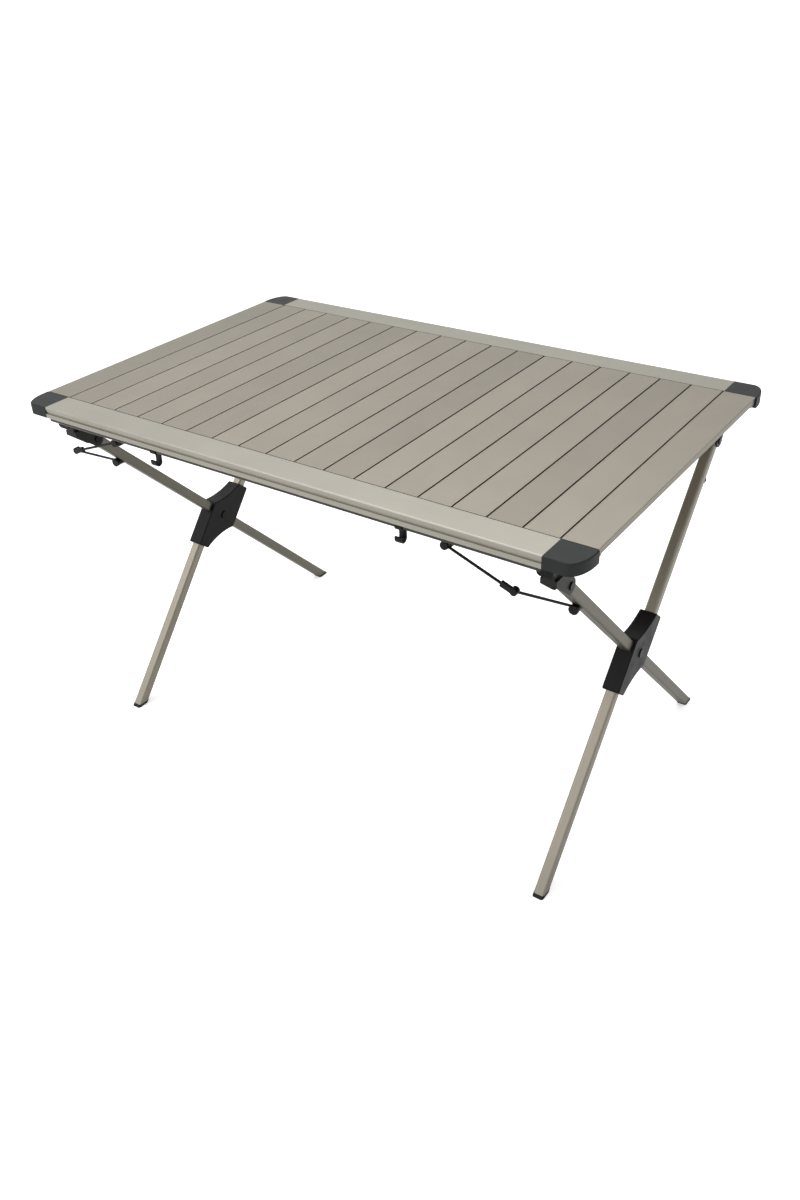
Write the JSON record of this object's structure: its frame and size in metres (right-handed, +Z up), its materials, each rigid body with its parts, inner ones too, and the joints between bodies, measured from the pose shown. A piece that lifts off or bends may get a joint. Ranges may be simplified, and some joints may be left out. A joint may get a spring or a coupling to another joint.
{
  "type": "folding table",
  "caption": "Folding camp table with a roll-up slatted aluminium top between two long rails, on crossed tube legs that fold under the top with jointed braces.",
  "frame": {"origin": "on the floor under the centre of the table top", "axes": "+X along the two long rails, +Y from the front rail to the back rail, +Z up"},
  "size_m": [1.104, 0.712, 0.704],
  "materials": {
    "slats": "satin anodised, brushed along the slat",
    "rails": "satin anodised",
    "side_rods": "satin anodised",
    "leg_tubes": "satin anodised",
    "corner_caps": "fine grained",
    "black_plastic": "moulded, lightly textured",
    "yokes": "powder coated",
    "brace_rods": "black coated",
    "steel_pins": "dulled steel",
    "feet": "matte"
  },
  "bodies": {
    "table_frame": {"front_rail": "rails", "back_rail": "rails", "side_rods": "side_rods", "rail_ledges": "side_rods", "front_right_corner_cap": "corner_caps", "front_left_corner_cap": "corner_caps", "back_right_corner_cap": "corner_caps", "back_left_corner_cap": "corner_caps", "front_right_hinge_block": "black_plastic", "front_left_hinge_block": "black_plastic", "back_right_hinge_block": "black_plastic", "back_left_hinge_block": "black_plastic", "hinge_pins": "steel_pins", "brace_brackets": "black_plastic", "storage_hooks": "black_plastic", "slat_01": "slats"},
    "slat_02_body": {"slat_02": "slats"},
    "slat_03_body": {"slat_03": "slats"},
    "slat_04_body": {"slat_04": "slats"},
    "slat_05_body": {"slat_05": "slats"},
    "slat_06_body": {"slat_06": "slats"},
    "slat_07_body": {"slat_07": "slats"},
    "slat_08_body": {"slat_08": "slats"},
    "slat_09_body": {"slat_09": "slats"},
    "slat_10_body": {"slat_10": "slats"},
    "slat_11_body": {"slat_11": "slats"},
    "slat_12_body": {"slat_12": "slats"},
    "slat_13_body": {"slat_13": "slats"},
    "slat_14_body": {"slat_14": "slats"},
    "slat_15_body": {"slat_15": "slats"},
    "slat_16_body": {"slat_16": "slats"},
    "slat_17_body": {"slat_17": "slats"},
    "slat_18_body": {"slat_18": "slats"},
    "slat_19_body": {"slat_19": "slats"},
    "right_leg_frame": {"right_leg_a": "leg_tubes", "right_leg_b_lower": "leg_tubes", "right_leg_b_upper": "leg_tubes", "right_cross_shell_outer": "black_plastic", "right_cross_shell_inner": "black_plastic", "right_front_yoke": "yokes", "right_back_yoke": "yokes", "right_leg_pins": "steel_pins", "right_feet": "feet"},
    "right_front_upper_link_body": {"right_front_upper_link": "brace_rods"},
    "right_front_lower_link_body": {"right_front_lower_link": "brace_rods"},
    "right_back_upper_link_body": {"right_back_upper_link": "brace_rods"},
    "right_back_lower_link_body": {"right_back_lower_link": "brace_rods"},
    "left_leg_frame": {"left_leg_a": "leg_tubes", "left_leg_b_lower": "leg_tubes", "left_leg_b_upper": "leg_tubes", "left_cross_shell_outer": "black_plastic", "left_cross_shell_inner": "black_plastic", "left_front_yoke": "yokes", "left_back_yoke": "yokes", "left_leg_pins": "steel_pins", "left_feet": "feet"},
    "left_front_upper_link_body": {"left_front_upper_link": "brace_rods"},
    "left_front_lower_link_body": {"left_front_lower_link": "brace_rods"},
    "left_back_upper_link_body": {"left_back_upper_link": "brace_rods"},
    "left_back_lower_link_body": {"left_back_lower_link": "brace_rods"}
  },
  "joints": [
    {"name": "slat_roll_02", "type": "hinge", "parent": "table_frame", "child": "slat_02_body", "pos_m": [0.493, 0, 0.6982], "axis": [0, 1, 0], "range_deg": [0, 17]},
    {"name": "slat_roll_03", "type": "hinge", "parent": "slat_02_body", "child": "slat_03_body", "pos_m": [0.435, 0, 0.6982], "axis": [0, 1, 0], "range_deg": [0, 17]},
    {"name": "slat_roll_04", "type": "hinge", "parent": "slat_03_body", "child": "slat_04_body", "pos_m": [0.377, 0, 0.6982], "axis": [0, 1, 0], "range_deg": [0, 17]},
    {"name": "slat_roll_05", "type": "hinge", "parent": "slat_04_body", "child": "slat_05_body", "pos_m": [0.319, 0, 0.6982], "axis": [0, 1, 0], "range_deg": [0, 17]},
    {"name": "slat_roll_06", "type": "hinge", "parent": "slat_05_body", "child": "slat_06_body", "pos_m": [0.261, 0, 0.6982], "axis": [0, 1, 0], "range_deg": [0, 17]},
    {"name": "slat_roll_07", "type": "hinge", "parent": "slat_06_body", "child": "slat_07_body", "pos_m": [0.203, 0, 0.6982], "axis": [0, 1, 0], "range_deg": [0, 17]},
    {"name": "slat_roll_08", "type": "hinge", "parent": "slat_07_body", "child": "slat_08_body", "pos_m": [0.145, 0, 0.6982], "axis": [0, 1, 0], "range_deg": [0, 17]},
    {"name": "slat_roll_09", "type": "hinge", "parent": "slat_08_body", "child": "slat_09_body", "pos_m": [0.087, 0, 0.6982], "axis": [0, 1, 0], "range_deg": [0, 17]},
    {"name": "slat_roll_10", "type": "hinge", "parent": "slat_09_body", "child": "slat_10_body", "pos_m": [0.029, 0, 0.6982], "axis": [0, 1, 0], "range_deg": [0, 17]},
    {"name": "slat_roll_11", "type": "hinge", "parent": "slat_10_body", "child": "slat_11_body", "pos_m": [-0.029, 0, 0.6982], "axis": [0, 1, 0], "range_deg": [0, 17]},
    {"name": "slat_roll_12", "type": "hinge", "parent": "slat_11_body", "child": "slat_12_body", "pos_m": [-0.087, 0, 0.6982], "axis": [0, 1, 0], "range_deg": [0, 17]},
    {"name": "slat_roll_13", "type": "hinge", "parent": "slat_12_body", "child": "slat_13_body", "pos_m": [-0.145, 0, 0.6982], "axis": [0, 1, 0], "range_deg": [0, 17]},
    {"name": "slat_roll_14", "type": "hinge", "parent": "slat_13_body", "child": "slat_14_body", "pos_m": [-0.203, 0, 0.6982], "axis": [0, 1, 0], "range_deg": [0, 17]},
    {"name": "slat_roll_15", "type": "hinge", "parent": "slat_14_body", "child": "slat_15_body", "pos_m": [-0.261, 0, 0.6982], "axis": [0, 1, 0], "range_deg": [0, 17]},
    {"name": "slat_roll_16", "type": "hinge", "parent": "slat_15_body", "child": "slat_16_body", "pos_m": [-0.319, 0, 0.6982], "axis": [0, 1, 0], "range_deg": [0, 17]},
    {"name": "slat_roll_17", "type": "hinge", "parent": "slat_16_body", "child": "slat_17_body", "pos_m": [-0.377, 0, 0.6982], "axis": [0, 1, 0], "range_deg": [0, 17]},
    {"name": "slat_roll_18", "type": "hinge", "parent": "slat_17_body", "child": "slat_18_body", "pos_m": [-0.435, 0, 0.6982], "axis": [0, 1, 0], "range_deg": [0, 17]},
    {"name": "slat_roll_19", "type": "hinge", "parent": "slat_18_body", "child": "slat_19_body", "pos_m": [-0.493, 0, 0.6982], "axis": [0, 1, 0], "range_deg": [0, 17]},
    {"name": "right_leg_fold", "type": "hinge", "parent": "table_frame", "child": "right_leg_frame", "pos_m": [0.487, 0, 0.668], "axis": [0, 1, 0], "range_deg": [0, 80]},
    {"name": "right_front_upper_link_fold", "type": "hinge", "parent": "table_frame", "child": "right_front_upper_link_body", "pos_m": [0.336, -0.3435, 0.668], "axis": [0, -1, 0], "range_deg": [0, 18.1]},
    {"name": "right_front_lower_link_fold", "type": "hinge", "parent": "right_leg_frame", "child": "right_front_lower_link_body", "pos_m": [0.487, -0.23146, 0.548], "axis": [0, 1, 0], "range_deg": [0, 23.7]},
    {"name": "right_back_upper_link_fold", "type": "hinge", "parent": "table_frame", "child": "right_back_upper_link_body", "pos_m": [0.336, 0.3435, 0.668], "axis": [0, -1, 0], "range_deg": [0, 18.1]},
    {"name": "right_back_lower_link_fold", "type": "hinge", "parent": "right_leg_frame", "child": "right_back_lower_link_body", "pos_m": [0.487, 0.26562, 0.548], "axis": [0, 1, 0], "range_deg": [0, 23.7]},
    {"name": "left_leg_fold", "type": "hinge", "parent": "table_frame", "child": "left_leg_frame", "pos_m": [-0.487, 0, 0.668], "axis": [0, -1, 0], "range_deg": [0, 88]},
    {"name": "left_front_upper_link_fold", "type": "hinge", "parent": "table_frame", "child": "left_front_upper_link_body", "pos_m": [-0.336, -0.3435, 0.668], "axis": [0, 1, 0], "range_deg": [0, 19.9]},
    {"name": "left_front_lower_link_fold", "type": "hinge", "parent": "left_leg_frame", "child": "left_front_lower_link_body", "pos_m": [-0.487, -0.23146, 0.548], "axis": [0, -1, 0], "range_deg": [0, 26.1]},
    {"name": "left_back_upper_link_fold", "type": "hinge", "parent": "table_frame", "child": "left_back_upper_link_body", "pos_m": [-0.336, 0.3435, 0.668], "axis": [0, 1, 0], "range_deg": [0, 19.9]},
    {"name": "left_back_lower_link_fold", "type": "hinge", "parent": "left_leg_frame", "child": "left_back_lower_link_body", "pos_m": [-0.487, 0.26562, 0.548], "axis": [0, -1, 0], "range_deg": [0, 26.1]}
  ],
  "couplings": [
    {"joint": "right_front_upper_link_fold", "follows": "right_leg_fold", "ratio": 0.22572},
    {"joint": "right_front_lower_link_fold", "follows": "right_leg_fold", "ratio": 0.29555},
    {"joint": "right_back_upper_link_fold", "follows": "right_leg_fold", "ratio": 0.22572},
    {"joint": "right_back_lower_link_fold", "follows": "right_leg_fold", "ratio": 0.29555},
    {"joint": "left_front_upper_link_fold", "follows": "left_leg_fold", "ratio": 0.22572},
    {"joint": "left_front_lower_link_fold", "follows": "left_leg_fold", "ratio": 0.29555},
    {"joint": "left_back_upper_link_fold", "follows": "left_leg_fold", "ratio": 0.22572},
    {"joint": "left_back_lower_link_fold", "follows": "left_leg_fold", "ratio": 0.29555}
  ]
}
